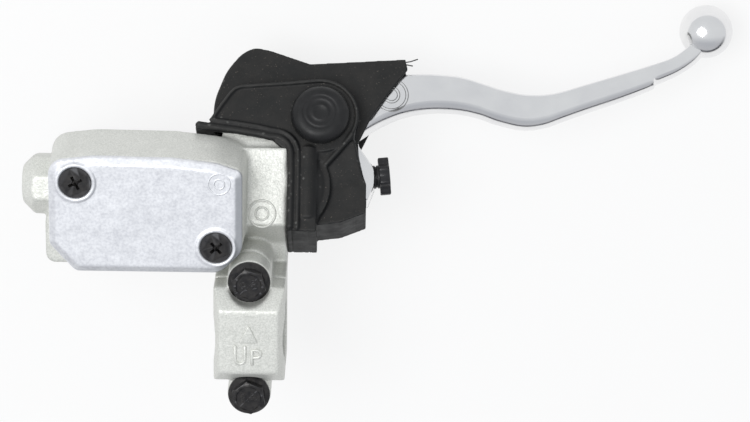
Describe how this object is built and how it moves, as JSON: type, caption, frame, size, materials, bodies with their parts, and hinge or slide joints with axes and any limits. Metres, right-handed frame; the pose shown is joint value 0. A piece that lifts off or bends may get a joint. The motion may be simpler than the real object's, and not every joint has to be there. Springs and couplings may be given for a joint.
{
  "type": "brake master cylinder",
  "caption": "Front brake master cylinder with built-in fluid reservoir, bar clamp, rubber-covered pivot and curved ball-end lever.",
  "frame": {"origin": "centre of the handlebar clamp bore, midway along its width", "axes": "+X along the handlebar towards the lever's ball end, +Y forward away from the rider, +Z square to the reservoir cover"},
  "size_m": [0.2269, 0.1193, 0.0747],
  "materials": {
    "body_paint": "satin",
    "raw_cast": "satin",
    "black_steel": "satin",
    "black_rubber": "matte",
    "boot_rubber": "matte",
    "stainless": "satin",
    "polished_lever": "polished",
    "bronze": "satin",
    "black_anodised": "satin",
    "piston_alloy": "satin",
    "spring_steel": "satin"
  },
  "bodies": {
    "body": {"body_casting": "body_paint", "reservoir_cover": "raw_cast", "cover_screws": "black_steel", "reservoir_diaphragm": "black_rubber", "float_plate": "stainless", "clamp_cap": "body_paint", "clamp_bolts": "black_steel", "pivot_bolt": "stainless", "pivot_nut": "stainless", "return_spring": "spring_steel", "stop_washer": "stainless", "snap_ring": "spring_steel", "dust_boot": "black_rubber", "lever_boot": "boot_rubber"},
    "lever": {"brake_lever": "polished_lever", "lever_bush": "bronze", "adjuster_sleeve": "stainless"},
    "knob": {"adjuster_knob": "black_anodised"},
    "pin": {"push_pin": "stainless"},
    "piston": {"piston": "piston_alloy", "secondary_seal": "black_rubber", "primary_cup": "black_rubber", "spring_seat": "stainless"}
  },
  "joints": [
    {"name": "lever_pivot", "type": "hinge", "parent": "body", "child": "lever", "pos_m": [0.0213, 0.05672, -0.0297], "axis": [0, -0.5878, -0.809], "range_deg": [0, 13.5], "stiffness_Nm_per_rad": 1.5, "springref_deg": -5.73},
    {"name": "piston_slide", "type": "slide", "parent": "body", "child": "piston", "axis": [-1, 0, 0], "range_m": [0, 0.0055], "deforming": ["return_spring", "dust_boot"]},
    {"name": "adjuster_turn", "type": "hinge", "parent": "lever", "child": "knob", "pos_m": [0.0418, 0.04394, -0.02041], "axis": [0.9945, 0.0846, -0.0614], "range_deg": [0, 720]},
    {"name": "pin_reach", "type": "slide", "parent": "lever", "child": "pin", "axis": [0.9945, 0.0846, -0.0614], "range_m": [0, 0.002]}
  ],
  "couplings": [
    {"joint": "piston_slide", "follows": "lever_pivot", "m_per_rad": 0.0183},
    {"joint": "adjuster_turn", "follows": "pin_reach", "rad_per_m": 6283.2}
  ]
}
